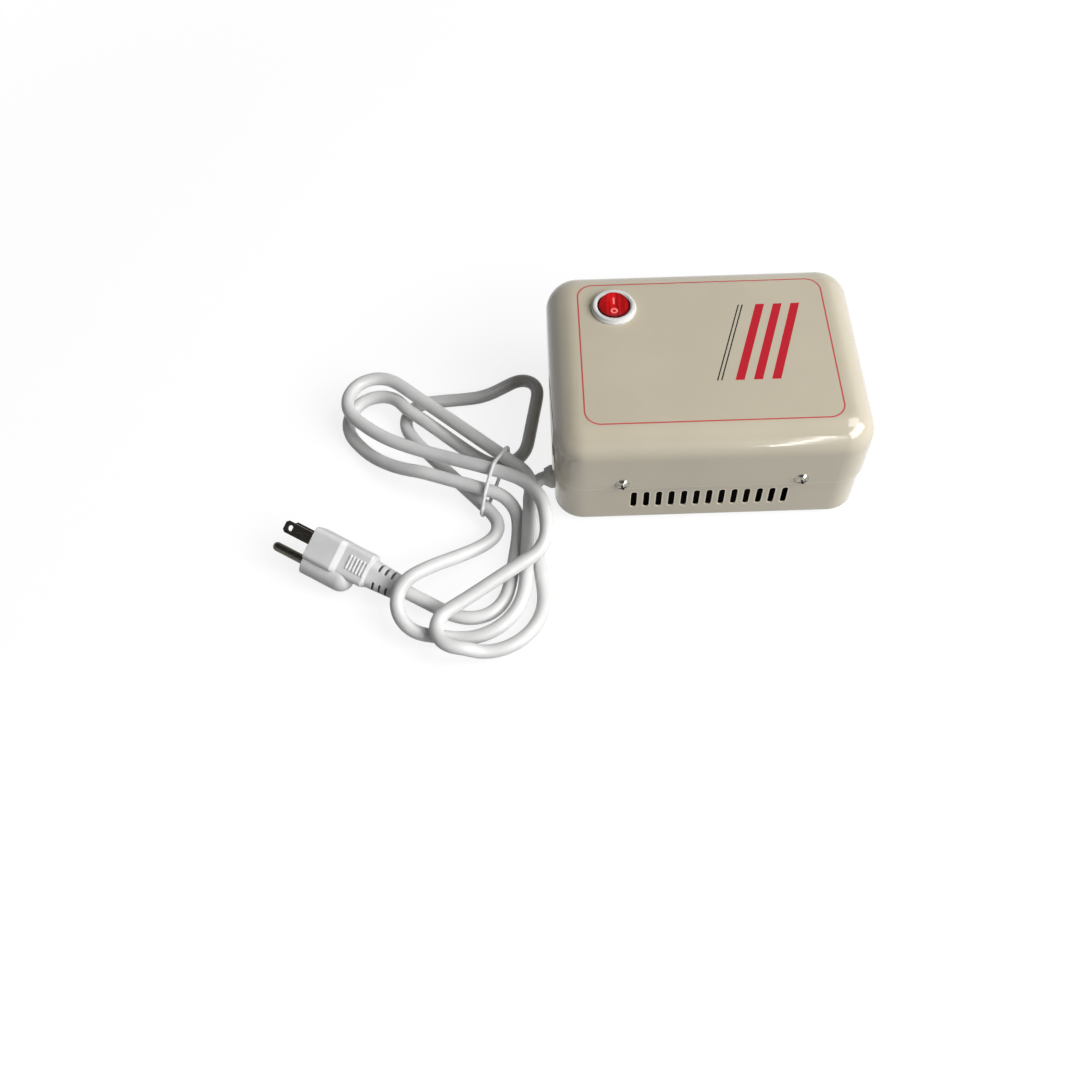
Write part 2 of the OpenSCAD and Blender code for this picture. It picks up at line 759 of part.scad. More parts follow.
// Bobbin on the middle leg, with a flange at either end
module coil_bobbin() {
    color([0.15, 0.15, 0.16]) translate([core_x, 0, bobbin_z]) difference() {
        union() {
            for (z = [0, bobbin_h - bobbin_wall])
                translate([0, 0, z]) linear_extrude(bobbin_wall)
                    round_rect(2 * flange_x, 2 * flange_y, winding_r);
            linear_extrude(bobbin_h)
                square([2 * (bobbin_in_x + bobbin_wall), 2 * (bobbin_in_y + bobbin_wall)], center = true);
        }
        translate([0, 0, -cut_over]) linear_extrude(bobbin_h + 2 * cut_over)
            square([2 * bobbin_in_x, 2 * bobbin_in_y], center = true);
    }
}

// Winding under its wrap of tape
module coil_winding() {
    color([0.75, 0.75, 0.73]) translate([core_x, 0, bobbin_z + bobbin_wall + slide_fit])
        linear_extrude(bobbin_h - 2 * bobbin_wall - 2 * slide_fit) difference() {
            round_rect(2 * winding_x, 2 * winding_y, winding_r);
            square(2 * [bobbin_in_x + bobbin_wall + slide_fit, bobbin_in_y + bobbin_wall + slide_fit],
                center = true);
        }
}

// Strip over the core, bolted to the tray by its feet
module core_clamp() {
    inner = [core_l + 2 * slide_fit, core_h + slide_fit];
    color([0.68, 0.68, 0.66]) difference() {
        translate([core_x, 0, floor_z]) rotate([90, 0, 0])
        linear_extrude(clamp_w, center = true) difference() {
            union() {
                translate([-clamp_side, 0]) square([2 * clamp_side, inner.y + clamp_t]);
                translate([-clamp_side - clamp_foot_l, 0]) square([2 * (clamp_side + clamp_foot_l), clamp_t]);
            }
            translate([-inner.x / 2, -cut_over]) square([inner.x, inner.y + cut_over]);
        }
        at_clamp_bolts() translate([0, 0, floor_z - cut_over])
            cylinder(clamp_t + 2 * cut_over, r = bolt_hole_r);
    }
}

// Low-headed bolts from below
module clamp_bolts() {
    color([0.7, 0.7, 0.68]) at_clamp_bolts() {
        translate([0, 0, foot_h - bolt_head_h]) cylinder(bolt_head_h, r = bolt_head_r);
        translate([0, 0, foot_h]) cylinder(sheet + clamp_t + hex_h + bolt_end, r = bolt_r);
    }
}

module clamp_nuts() {
    color([0.7, 0.7, 0.68]) at_clamp_bolts() translate([0, 0, floor_z + clamp_t])
        hex_nut(hex_h, hex_r, hex_bore_r);
}

// Thermal cut-out against the back of the winding
module thermal_cutout() {
    color([0.2, 0.2, 0.22]) translate([core_x, winding_y, floor_z + core_h / 2]) {
        rotate([-90, 0, 0]) linear_extrude(cutout_t) round_rect(cutout_l, cutout_h, cutout_edge_r);
        for (s = [0, 180])
            translate([0, cutout_t / 2, 0]) rotate([0, 0, s]) translate([cutout_l / 2 - cutout_lead_in, 0, 0])
                rotate([0, 90, 0]) cylinder(cutout_lead_l + cutout_lead_in, r = cutout_lead_r);
    }
}

// Three-pole terminal block on two pegs
module terminal_block() {
    color([0.9, 0.89, 0.85]) translate([term_x, term_y, 0]) {
        difference() {
            union() {
                translate([-term_w / 2, -term_l / 2, floor_z]) cube([term_w, term_l, term_h - term_step]);
                for (i = [-1:1])
                    translate([-term_w / 2, i * pole_pitch - pole_w / 2, floor_z])
                        cube([term_w, pole_w, term_h]);
            }
            for (i = [-1:1]) {
                translate([-term_w, i * pole_pitch, floor_z + pole_wire_z]) rotate([0, 90, 0])
                    cylinder(2 * term_w, r = pole_wire_r);
                for (x = [-1, 1])
                    translate([x * pole_screw_x, i * pole_pitch, floor_z + term_h - pole_well_depth])
                        cylinder(term_h, r = pole_well_r);
            }
        }
        for (y = [-1, 1])
            translate([0, y * peg_y, foot_h]) cylinder(sheet + peg_root, r = peg_r);
    }
}

// Slotted screws in the wells of the terminal block
module terminal_screws() {
    color([0.8, 0.68, 0.35]) for (i = [-1:1], x = [-1, 1])
        translate([term_x + x * pole_screw_x, term_y + i * pole_pitch, floor_z + term_h - pole_well_depth])
            difference() {
                cylinder(pole_screw_h, r = pole_well_r - slide_fit);
                translate([0, 0, pole_screw_h])
                    cube([2 * pole_well_r, pole_slot_w, 2 * pole_slot_depth], center = true);
            }
}

// Earth stud welded to the tray's floor
module earth_stud() {
    color([0.75, 0.72, 0.6]) translate([stud_x, stud_y, floor_z]) {
        cylinder(stud_disc_t, r = stud_disc_r);
        cylinder(stud_h, r = stud_r);
    }
}

// Lug on the earth stud, under its nut
module earth_lug() {
    color([0.8, 0.78, 0.7]) translate([stud_x, stud_y, floor_z + stud_disc_t]) difference() {
        union() {
            cylinder(lug_t, r = lug_r);
            translate([0, -lug_w / 2, 0]) cube([lug_l, lug_w, lug_t]);
        }
        translate([0, 0, -cut_over]) cylinder(lug_t + 2 * cut_over, r = stud_r + slide_fit);
    }
}

module earth_nut() {
    color([0.7, 0.7, 0.68]) translate([stud_x, stud_y, floor_z + stud_disc_t + lug_t])
        hex_nut(hex_h, hex_r, stud_r + fit);
}

// Outlet with an oval recess, two pin holes and snap barbs behind the wall
module outlet_body() {
    color([0.1, 0.1, 0.11]) difference() {
        union() {
            translate([outlet_back, 0, outlet_z]) rotate([90, 0, 90])
                linear_extrude(outlet_depth) round_rect(body_w, body_h, body_r);
            translate([tray_end, 0, outlet_z]) rotate([90, 0, 90])
                linear_extrude(outlet_flange_t) round_rect(outlet_w, outlet_h, outlet_edge_r);
            for (s = [-1, 1])
                translate([tray_end - sheet, barb_w / 2, outlet_z + s * body_h / 2]) rotate([90, 0, 0])
                    linear_extrude(barb_w) polygon([
                        [-slide_fit, -s], [-slide_fit, s * barb_h], [-barb_flat, s * barb_h],
                        [-barb_l, 0], [-barb_l, -s]]);
        }
        translate([recess_floor, 0, outlet_z]) rotate([90, 0, 90])
            linear_extrude(recess_depth + cut_over) round_rect(recess_w, recess_h, recess_h / 2 - fit);
        at_outlet_pins(outlet_back - cut_over) cylinder(outlet_depth + cut_over, d = pin_hole_d);
        at_outlet_pins(outlet_back - cut_over)
            cylinder(sleeve_seat - outlet_back + cut_over, r = sleeve_r + slide_fit);
    }
}

// Brass sleeves behind the pin holes
module outlet_contacts() {
    color([0.82, 0.68, 0.35]) at_outlet_pins(outlet_back - sleeve_out) difference() {
        cylinder(sleeve_seat - outlet_back + sleeve_out, r = sleeve_r);
        translate([0, 0, -cut_over])
            cylinder(sleeve_seat - outlet_back + sleeve_out + 2 * cut_over, r = sleeve_bore_r);
    }
}

// Gland in the end wall: a tapered nose outside, a threaded neck inside
module cord_gland() {
    color([0.85, 0.85, 0.84]) translate([-tray_end, gland_y, gland_z]) rotate([0, -90, 0]) rotate_extrude()
        difference() {
            polygon([
                [0, -gland_in], [gland_neck_r, -gland_in], [gland_neck_r, 0], [gland_flange_r, 0],
                [gland_flange_r, gland_flange_t], [gland_tip_r, gland_out], [0, gland_out]]);
            translate([0, -gland_in - cut_over]) square([gland_bore_r, gland_in + gland_out + 2 * cut_over]);
        }
}

module gland_nut() {
    color([0.2, 0.2, 0.2]) translate([sheet - tray_end, gland_y, gland_z])
        rotate([0, 90, 0]) rotate([0, 0, 30])
        hex_nut(gland_nut_h, gland_nut_flat / cos(30), gland_neck_r + fit);
}

module cord_lead() {
    color([0.85, 0.85, 0.84]) tube(lead_path, cord_r, tube_sides);
}

// Hank of loops: one unbroken run of cord
module cord_hank() {
    color([0.85, 0.85, 0.84]) tube(hank_points(arc_step, leg_step), cord_r, hank_sides);
}

module cord_tail() {
    color([0.85, 0.85, 0.84]) tube(tail_path, cord_r, tube_sides);
}

// Tie drawn round the runs that pass through its plane
module cord_tie() {
    path = hank_points(fine_arc, fine_leg);
    along = heading_dir(tie_heading);
    across = heading_dir(tie_heading + 90);
    local = [for (p = path) let (d = p - [tie_at.x, tie_at.y, 0]) [d * along, d * across, p.z]];
    runs = [for (i = [1:len(local) - 1])
        if (local[i - 1].x * local[i].x <= 0 && abs(local[i].y) < tie_reach && local[i].z > tie_floor)
            [local[i].y, local[i].z]];
    color([0.95, 0.95, 0.94]) translate([tie_at.x, tie_at.y, 0])
        rotate([0, 0, tie_heading]) rotate([90, 0, 90])
        linear_extrude(tie_w, center = true) difference() {
            hull() for (q = runs) translate(q) circle(cord_r + tie_fit + tie_t, $fn = 32);
            hull() for (q = runs) translate(q) circle(cord_r + tie_fit, $fn = 32);
        }
}

// Stretch of the plug's body, from x on, of even section
module plug_block(x, l, half, inset) {
    translate([x, plug_mid, 0]) rotate([90, 0, 90])
        linear_extrude(l) round_rect(plug_w - 2 * inset, 2 * half, plug_edge_r, $fn = 32);
}

// Strain relief with broad flat sides, tapered towards the cord
module relief() {
    hull() {
        rotate([90, 0, 90]) linear_extrude(slice_t)
            round_rect(2 * relief_end.x, 2 * relief_end.y, relief_edge_r, $fn = 32);
        translate([plug_back, 0, 0]) rotate([90, 0, 90]) linear_extrude(slice_t)
            round_rect(2 * relief_root.x, 2 * relief_root.y, relief_edge_r, $fn = 32);
    }
}

// Slots over the strain relief's four rounded edges
module relief_slots() {
    for (i = [0:slot_count - 1], y = [-1, 1], z = [-1, 1])
        let (x = plug_back - slot_first - i * slot_pitch)
            let (half = relief_end + (relief_root - relief_end) * x / relief_l)
                translate([x, y * (half.x - relief_edge_r), z * (half.y - relief_edge_r)])
                    rotate([-y * (90 - 45 * z), 0, 0]) translate([0, 0, relief_edge_r])
                        cube([slot_w, slot_l, 2 * slot_depth], center = true);
}

// Moulded plug: thick head, slope, grip with ridges, ground bulge and slotted strain relief
module plug_body() {
    color([0.85, 0.85, 0.84]) at_plug() difference() {
        union() {
            plug_block(plug_face - head_l, head_l, head_half, 0);
            hull() {
                plug_block(plug_face - head_l, slice_t, head_half, 0);
                plug_block(plug_face - head_l - slope_l, slice_t, rear_half, 0);
            }
            plug_block(plug_back + bevel_l, plug_l - head_l - slope_l - bevel_l + slice_t, rear_half, 0);
            hull() {
                plug_block(plug_back + bevel_l, slice_t, rear_half, 0);
                plug_block(plug_back, slice_t, rear_half - bevel_in, bevel_in);
            }
            relief();
            translate([plug_face - bulge_l, bulge_y, 0]) rotate([0, 90, 0]) cylinder(bulge_l, r = bulge_r);
            translate([plug_face - bulge_l, bulge_y, 0]) sphere(bulge_r);
            for (i = [0:grip_count - 1], s = [-1, 1])
                translate([plug_back + grip_first + i * grip_pitch, plug_mid, s * rear_half])
                    cube([grip_w, grip_l, 2 * grip_h], center = true);
        }
        relief_slots();
        for (s = [-1, 1])
            translate([plug_face - blade_in, blade_y, s * blade_pitch / 2 - blade_t / 2 - fit])
                translate([0, -blade_w / 2 - fit, 0])
                    cube([blade_in + cut_over, blade_w + 2 * fit, blade_t + 2 * fit]);
        translate([plug_face - ground_in, ground_y, 0]) rotate([0, 90, 0])
            cylinder(ground_in + cut_over, d = ground_d + 2 * fit);
    }
}

// Flat blades with a hole and bevelled tips
module plug_blades() {
    color([0.6, 0.6, 0.58]) at_plug() for (s = [-1, 1])
        translate([plug_face, blade_y, s * blade_pitch / 2 - blade_t / 2])
        linear_extrude(blade_t) difference() {
            polygon([
                [-blade_in, -blade_w / 2], [blade_l - blade_tip, -blade_w / 2],
                [blade_l, blade_tip - blade_w / 2], [blade_l, blade_w / 2 - blade_tip],
                [blade_l - blade_tip, blade_w / 2], [-blade_in, blade_w / 2]]);
            translate([blade_l - blade_hole_in, 0]) circle(blade_hole_r);
        }
}

// Round ground pin with a domed tip
module plug_ground_pin() {
    color([0.6, 0.6, 0.58]) at_plug() translate([plug_face - ground_in, ground_y, 0]) rotate([0, 90, 0]) {
        cylinder(ground_in + ground_l - ground_d / 2, d = ground_d);
        translate([0, 0, ground_in + ground_l - ground_d / 2]) sphere(d = ground_d);
    }
}

union() {  // cord_hank
    echo(hank_gap = self_gap(hank_points(fine_arc, fine_leg), gap_skip));
    echo(cord_length = path_length(lead_path) + path_length(hank_points(fine_arc, fine_leg))
        + path_length(tail_path));
}
top_cover();
base_tray();
cover_screws();
press_nuts();
rubber_feet();
switch_body();
switch_rocker();
switch_terminals();
core_laminations();
coil_bobbin();
coil_winding();
core_clamp();
clamp_bolts();
clamp_nuts();
thermal_cutout();
terminal_block();
terminal_screws();
earth_stud();
earth_lug();
earth_nut();
outlet_body();
outlet_contacts();
cord_gland();
gland_nut();
cord_lead();
cord_hank();
cord_tail();
cord_tie();
plug_body();
plug_blades();
plug_ground_pin();
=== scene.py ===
"""Looks of the voltage converter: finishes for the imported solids, tied cord, plug and studio."""

import math

import bpy
from mathutils import Matrix, Vector


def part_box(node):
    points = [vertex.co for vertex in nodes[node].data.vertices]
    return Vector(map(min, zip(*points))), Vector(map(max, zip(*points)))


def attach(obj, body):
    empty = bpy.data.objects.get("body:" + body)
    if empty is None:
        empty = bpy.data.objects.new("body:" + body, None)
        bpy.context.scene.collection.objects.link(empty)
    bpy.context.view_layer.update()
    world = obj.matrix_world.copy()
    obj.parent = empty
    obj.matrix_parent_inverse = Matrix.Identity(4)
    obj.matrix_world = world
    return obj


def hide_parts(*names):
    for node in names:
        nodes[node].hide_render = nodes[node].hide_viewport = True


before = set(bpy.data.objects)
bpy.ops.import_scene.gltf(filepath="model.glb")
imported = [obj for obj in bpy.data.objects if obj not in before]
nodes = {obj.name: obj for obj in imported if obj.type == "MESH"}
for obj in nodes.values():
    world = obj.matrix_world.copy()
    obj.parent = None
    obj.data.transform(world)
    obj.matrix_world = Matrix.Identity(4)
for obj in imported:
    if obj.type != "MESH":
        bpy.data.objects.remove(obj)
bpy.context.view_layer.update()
CASE = "case"

# Sizes from the frame, in metres
cover_low, cover_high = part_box("top_cover")
tray_low, tray_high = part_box("base_tray")
bezel_low, bezel_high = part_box("switch_body")
screws_low, screws_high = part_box("cover_screws")
gland_low, gland_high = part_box("cord_gland")

# Cord: its diameter, the height of its middle on the floor, where it leaves the gland and where it starts,
# and the straight run on each side of the places where lead, hank and tail meet
CORD_D = 0.007
CORD_R = CORD_D / 2
LAY = 0.0036
GLAND_Y = (gland_low.y + gland_high.y) / 2
GLAND_Z = (gland_low.z + gland_high.z) / 2
GLAND_MOUTH = gland_low.x
GLAND_INNER = gland_high.x
END_RUN = CORD_D
END_CLEAR = END_RUN + 0.002

LEAD_POINTS = [
    (-0.0856, -0.0355, 0.0090), (-0.0880, -0.0372, 0.0073), (-0.0900, -0.0398, 0.0056),
    (-0.0912, -0.0432, 0.0044), (-0.0913, -0.0472, 0.0038), (-0.0906, -0.0515, LAY),
]

# Pegs that the hank is led round: x, y, radius, turn (1 left, -1 right), height in, height out
PEGS = [
    (-0.0890, -0.0630, 0, 1, LAY, LAY),
    (-0.1160, -0.1040, 0.0310, -1, LAY, 0.0060),
    (-0.1275, -0.1250, 0.0105, -1, 0.0128, 0.0138),
    (-0.0980, -0.0760, 0.0155, 1, 0.0185, 0.0230),
    (-0.1140, -0.0690, 0.0310, 1, 0.0238, 0.0210),
    (-0.1225, 0.0560, 0.0800, -1, 0.0165, 0.0155),
    (-0.1720, 0.0145, 0.0160, -1, 0.0155, 0.0160),
    (-0.1470, 0.0140, 0, 1, 0.0152, 0.0152),
    (-0.1040, -0.0430, 0.0140, -1, 0.0146, 0.0145),
    (-0.1240, -0.0960, 0.0300, -1, 0.0075, LAY),
    (-0.1436, -0.1110, 0.0135, -1, 0.0062, 0.0192),
    (-0.1180, -0.0630, 0.0110, 1, 0.0064, 0.0064),
    (-0.1220, 0.0160, 0.0360, -1, LAY, LAY),
    (-0.1435, 0.0085, 0.0140, -1, LAY, LAY),
    (-0.1240, 0.0540, 0.0300, 1, LAY, LAY),
    (-0.0930, 0.0280, 0.0085, -1, LAY, LAY),
    (-0.1060, -0.0070, 0.0150, -1, LAY, LAY),
    (-0.1570, 0.0120, 0, 1, 0.0115, 0.0115),
    (-0.1725, 0.0075, 0.0160, 1, 0.0113, LAY),
    (-0.1210, 0.0380, 0.0750, 1, LAY, 0.0139),
    (-0.1120, -0.0620, 0.0155, -1, 0.0139, 0.0046),
    (-0.0985, -0.0760, 0, 1, 0.0040, 0.0040),
]

TAIL_POINTS = [
    (-0.1009, -0.0900, LAY), (-0.1023, -0.0980, LAY), (-0.1044, -0.1046, LAY), (-0.1080, -0.1096, LAY),
    (-0.1123, -0.1128, LAY), (-0.1173, -0.1145, LAY), (-0.1228, -0.1148, LAY), (-0.1286, -0.1134, 0.0038),
    (-0.1343, -0.1109, 0.0044), (-0.1400, -0.1078, 0.0053),
]
TAIL_END = Vector((-0.1534, -0.1005, 0.0073))

# Steps along the cord's route, a turn so near to full that it is a small one the other way, rounds of
# softening, and the fineness of the cord's section
ARC_STEP = math.radians(6)
LEG_STEP = 0.004
BACK_TURN = math.radians(350)
FINE_STEP = 0.0005
CORD_STEP = 0.002
CORD_ROUNDS = 6
CORD_FINENESS = 8

# Tie round the hank: its plane, how far its wire keeps from the cord, the wire's radius, how far to each
# side and above which height it takes runs of the cord in, and the steps round a run and along the wire
TIE_AT = Vector((-0.108, -0.036, 0))
TIE_HEADING = math.radians(157)
TIE_GAP = 0.0007
TIE_WIRE_R = 0.00095
TIE_REACH = 0.025
TIE_FLOOR = CORD_R + 0.0015
TIE_FACETS = 48
TIE_STEP = 0.0015
TIE_FINENESS = 4

# Plug: its heading, rise and roll, the grid and rounds that soften its edges, and the strain relief from
# the cord's end to its root, where slots cut its round edges and get painted shade
PLUG_HEADING = math.radians(151)
PLUG_RISE = math.radians(7.2)
PLUG_ROLL = math.radians(29)
PLUG_VOXEL = 0.00025
PLUG_ROUNDS = 3
PLUG_SOFTENING = 0.5
RELIEF_L = 0.020
RELIEF_END = (0.0062, 0.0050)
RELIEF_ROOT = (0.0073, 0.0059)
RELIEF_EDGE_R = 0.0046
RELIEF_CAP = 0.001
SLOT_SHADE = 0.0005
SLOT_SHADE_TONE = 0.2

# Print on the cover: a border line with round corners, a block of slanted bars and two pinstripes
BORDER_HALF = (0.0628, 0.0457)
BORDER_R = 0.008
BORDER_W = 0.0008
BORDER_INK = 0.85
PRINT_SOFT = 0.00006
PRINT_WEAR = (0.9, 1.0)
PRINT_WEAR_NOISE = (0.2, 0.5)
PRINT_WEAR_SCALE = 3500
BARS_AT = (0.030, 0.004)
BARS_HALF = (0.0125, 0.025)
BARS_PITCH = 0.009
BARS_SLANT = 0.32
PINSTRIPES_AT = (0.010, 0.012)
PINSTRIPE_HALF = 0.00035

# Seam between cover and tray: a painted highlight along the cover's lower rim, and a painted shadow below
# it on the tray
SEAM = cover_low.z
SEAM_HIGHLIGHT_H = 0.0005
SEAM_HIGHLIGHT_TONE = 1.16
SEAM_SHADOW_H = 0.0011
SEAM_SHADOW_TONE = 0.5

# Tray: its round corners and lower edge, how deep the painted shade on its inside starts, and the painted
# highlights round its slots
TRAY_R = 0.0152
TRAY_EDGE_R = 0.0025
INSIDE = 0.0006
VENT_COUNT = 13
VENT_PITCH = 0.00635
VENT_REACH = VENT_COUNT * VENT_PITCH / 2
VENT_HALF = (0.0015, 0.0064)
VENT_Z = 0.0182
VENT_HIGHLIGHT_W = 0.0005
VENT_HIGHLIGHT_TONE = 1.45

# Switch: its middle, the marks on the rocker from there, a stroke along Y at the back and a ring in front,
# the painted shade of the gap at the rocker's rim, and the well that it sits in
SWITCH = (bezel_low + bezel_high) / 2
STROKE_Y = 0.0024
STROKE_HALF = (0.00042, 0.0018)
RING_Y = -0.0037
RING_R = 0.00138
RING_HALF_W = 0.00048
LENS_SHADE_FROM = 0.0060
LENS_SHADE_TO = 0.0085
WELL_R = 0.0085

# Clear red of the rocker: streaks of the ribs below it, and its gloss
STREAK_STRETCH = (1.0, 0.07, 0.07)
STREAK_SCALE = 560
STREAK_RANGE = (0.35, 0.66)
RIB_DEPTH = 0.00005
LENS_ROUGHNESS = (0.22, 0.34)
LENS_RUB_SCALE = 1400
LENS_COAT = 0.15
LENS_COAT_ROUGHNESS = 0.05
LENS_SPECULAR = 0.25

# Cover screws: the middle and radius of the dome of their heads, from the box of all four, and the depth at
# which painted shade fills the cross in the head
HEAD_R = (screws_high.z - screws_low.z) / 2
HEAD_H = screws_high.y - cover_high.y
SCREW_X = screws_high.x - HEAD_R
SCREW_Z = (screws_high.z + screws_low.z) / 2
DOME_R = (HEAD_R**2 + HEAD_H**2) / (2 * HEAD_H)
DOME_Y = screws_high.y - DOME_R
CROSS_SHADE_DEPTH = 0.0006
CROSS_SHADE_EDGE = 0.0001

# Colours, linear
PAINT = (0.58, 0.523, 0.404)
PRINT_RED = (0.55, 0.008, 0.024)
PRINT_BLACK = (0.02, 0.02, 0.02)
# near-black painted shade for the inside of the tray, seen through the slots
INNER_SHADE = (0.035, 0.034, 0.032)
CORD_GREY = (0.74, 0.745, 0.735)
PLUG_GREY = (0.73, 0.735, 0.73)
TIE_WHITE = (0.9, 0.9, 0.9)
WHITE = (0.74, 0.735, 0.72)
BLACK = (0.02, 0.02, 0.022)
RUBBER = (0.018, 0.018, 0.018)
MARK_PINK = (1.0, 0.24, 0.24)
LENS_DEEP = (0.34, 0.002, 0.004)
LENS_CLEAR = (0.68, 0.006, 0.008)
# dark red painted shade for the gap round the rocker, also the painted shadow and red reflection in the
# bezel's well
GAP_SHADE_RED = (0.07, 0.0005, 0.001)
NICKEL = (0.34, 0.325, 0.285)
# painted shade in the cross of the screw heads
CROSS_SHADE = (0.03, 0.028, 0.022)
ZINC = (0.5, 0.5, 0.49)
BLADE = (0.1, 0.09, 0.078)
BRASS = (0.72, 0.5, 0.2)
CORE = (0.07, 0.072, 0.078)
TAPE = (0.62, 0.61, 0.56)

# Noise in the finishes: the range of it that is used, and how fine rubbed and grained places are
NOISE_RANGE = (0.3, 0.7)
RUB_DETAIL = 5.0
RUB_ROUGHNESS = 0.6
FINE_DETAIL = 2.0
COAT_ROUGHNESS = 0.06


# Shader nodes
def new_material(name):
    mat = bpy.data.materials.new(name)
    mat.use_nodes = True
    tree = mat.node_tree
    return mat, tree, tree.nodes["Principled BSDF"]


def add(tree, kind, **settings):
    node = tree.nodes.new(kind)
    for key, value in settings.items():
        setattr(node, key, value)
    return node


def put(tree, socket, value):
    """Links an output to a socket, or sets the socket's own value."""
    if isinstance(value, bpy.types.NodeSocket):
        tree.links.new(value, socket)
    else:
        socket.default_value = value


def math_op(tree, operation, a, b=0.0):
    node = add(tree, "ShaderNodeMath", operation=operation)
    put(tree, node.inputs[0], a)
    put(tree, node.inputs[1], b)
    return node.outputs[0]


def plus(tree, a, b):
    return math_op(tree, "ADD", a, b)


def minus(tree, a, b):
    return math_op(tree, "SUBTRACT", a, b)


def times(tree, a, b):
    return math_op(tree, "MULTIPLY", a, b)


def larger(tree, a, b):
    return math_op(tree, "MAXIMUM", a, b)


def smaller(tree, a, b):
    return math_op(tree, "MINIMUM", a, b)


def size_of(tree, value):
    return math_op(tree, "ABSOLUTE", value)


def length_of(tree, *parts):
    """Length from its parts along the axes."""
    total = 0.0
    for part in parts:
        total = plus(tree, total, times(tree, part, part))
    return math_op(tree, "SQRT", total)


def object_space(tree):
    return add(tree, "ShaderNodeTexCoord").outputs["Object"]


def split_axes(tree, coords):
    split = add(tree, "ShaderNodeSeparateXYZ")
    put(tree, split.inputs[0], coords)
    return split.outputs


def axes_of(tree):
    return split_axes(tree, object_space(tree))


def stretched(tree, coords, scale):
    node = add(tree, "ShaderNodeMapping")
    put(tree, node.inputs["Vector"], coords)
    node.inputs["Scale"].default_value = scale
    return node.outputs["Vector"]


def noise(tree, coords, scale, detail=3.0, roughness=0.5):
    node = add(tree, "ShaderNodeTexNoise")
    put(tree, node.inputs["Vector"], coords)
    node.inputs["Scale"].default_value = scale
    node.inputs["Detail"].default_value = detail
    node.inputs["Roughness"].default_value = roughness
    return node.outputs["Fac"]


def remap(tree, value, low, high, to_low, to_high):
    node = add(tree, "ShaderNodeMapRange", interpolation_type="SMOOTHSTEP")
    for socket, number in zip(list(node.inputs)[:5], (value, low, high, to_low, to_high)):
        put(tree, socket, number)
    return node.outputs["Result"]


def mix_color(tree, factor, a, b):
    node = add(tree, "ShaderNodeMix", data_type="RGBA")
    put(tree, node.inputs["Factor"], factor)
    put(tree, node.inputs["A"], a)
    put(tree, node.inputs["B"], b)
    return node.outputs["Result"]


def bump(tree, bsdf, height, distance):
    node = add(tree, "ShaderNodeBump")
    node.inputs["Distance"].default_value = distance
    node.inputs["Strength"].default_value = 1.0
    put(tree, node.inputs["Height"], height)
    tree.links.new(node.outputs["Normal"], bsdf.inputs["Normal"])


def rgba(color, tone=1.0):
    return tuple(min(1.0, c * tone) for c in color) + (1.0,)


def tinted(tree, bsdf, mask, color):
    """Lays a colour over the surface's own, where the mask is 1."""
    below = bsdf.inputs["Base Color"].links[0].from_socket
    put(tree, bsdf.inputs["Base Color"], mix_color(tree, mask, below, color))


# Masks and distances
def from_round_edge(tree, a, b, radius):
    """Distance from two faces that meet in a round edge, from the distance to each, below 0 inside."""
    a, b = plus(tree, a, radius), plus(tree, b, radius)
    outside = length_of(tree, larger(tree, a, 0.0), larger(tree, b, 0.0))
    inside = smaller(tree, larger(tree, a, b), 0.0)
    return minus(tree, plus(tree, outside, inside), radius)


def from_round_rect(tree, x, y, half, radius):
    """Distance from a rectangle with round corners, below 0 inside it."""
    a, b = (minus(tree, size_of(tree, value), side) for value, side in zip((x, y), half))
    return from_round_edge(tree, a, b, radius)


def within(tree, value, limit, mask=1.0):
    """The mask's value up to the limit and 0 beyond it, with a fine soft edge."""
    return remap(tree, value, limit - PRINT_SOFT, limit + PRINT_SOFT, mask, 0.0)


def band_mask(tree, value, centre, half):
    return within(tree, size_of(tree, minus(tree, value, centre)), half)


def border_mask(tree, x, y):
    away = size_of(tree, from_round_rect(tree, x, y, BORDER_HALF, BORDER_R))
    return within(tree, away, BORDER_W / 2, BORDER_INK)


def lean_of(tree, x, y):
    """Distance along X from the slanted line through the origin."""
    return minus(tree, x, times(tree, y, BARS_SLANT))


def bars_mask(tree, x, y):
    lean = lean_of(tree, x, y)
    wave = math_op(tree, "PINGPONG", minus(tree, lean, BARS_AT[0]), BARS_PITCH / 2)
    stripe = within(tree, wave, BARS_PITCH / 4)
    block = times(tree, band_mask(tree, lean, BARS_AT[0], BARS_HALF[0]),
                  band_mask(tree, y, BARS_AT[1], BARS_HALF[1]))
    return times(tree, stripe, block)


def pinstripes_mask(tree, x, y):
    lean = lean_of(tree, x, y)
    first, second = (band_mask(tree, lean, centre, PINSTRIPE_HALF) for centre in PINSTRIPES_AT)
    return times(tree, larger(tree, first, second), band_mask(tree, y, BARS_AT[1], BARS_HALF[1]))


def inner_shade_mask(tree, x, y, z):
    """1 on the tray's inner faces and the walls of its slots, below the paint, where painted shade goes."""
    wall = from_round_rect(tree, x, y, (tray_high.x, tray_high.y), TRAY_R)
    depth = from_round_edge(tree, wall, minus(tree, tray_low.z, z), TRAY_EDGE_R)
    return remap(tree, depth, -INSIDE - PRINT_SOFT, -INSIDE, 1.0, 0.0)


# Painted highlight: a thin lighter band of paint round each slot
def vent_highlight_mask(tree, x, z):
    across = math_op(tree, "PINGPONG", x, VENT_PITCH / 2)
    along = minus(tree, z, VENT_Z)
    away = from_round_rect(tree, across, along, VENT_HALF, VENT_HALF[0])
    return times(tree, within(tree, away, VENT_HIGHLIGHT_W), band_mask(tree, x, 0.0, VENT_REACH))


def from_switch(tree):
    x, y, _ = axes_of(tree)
    return minus(tree, x, SWITCH.x), minus(tree, y, SWITCH.y)


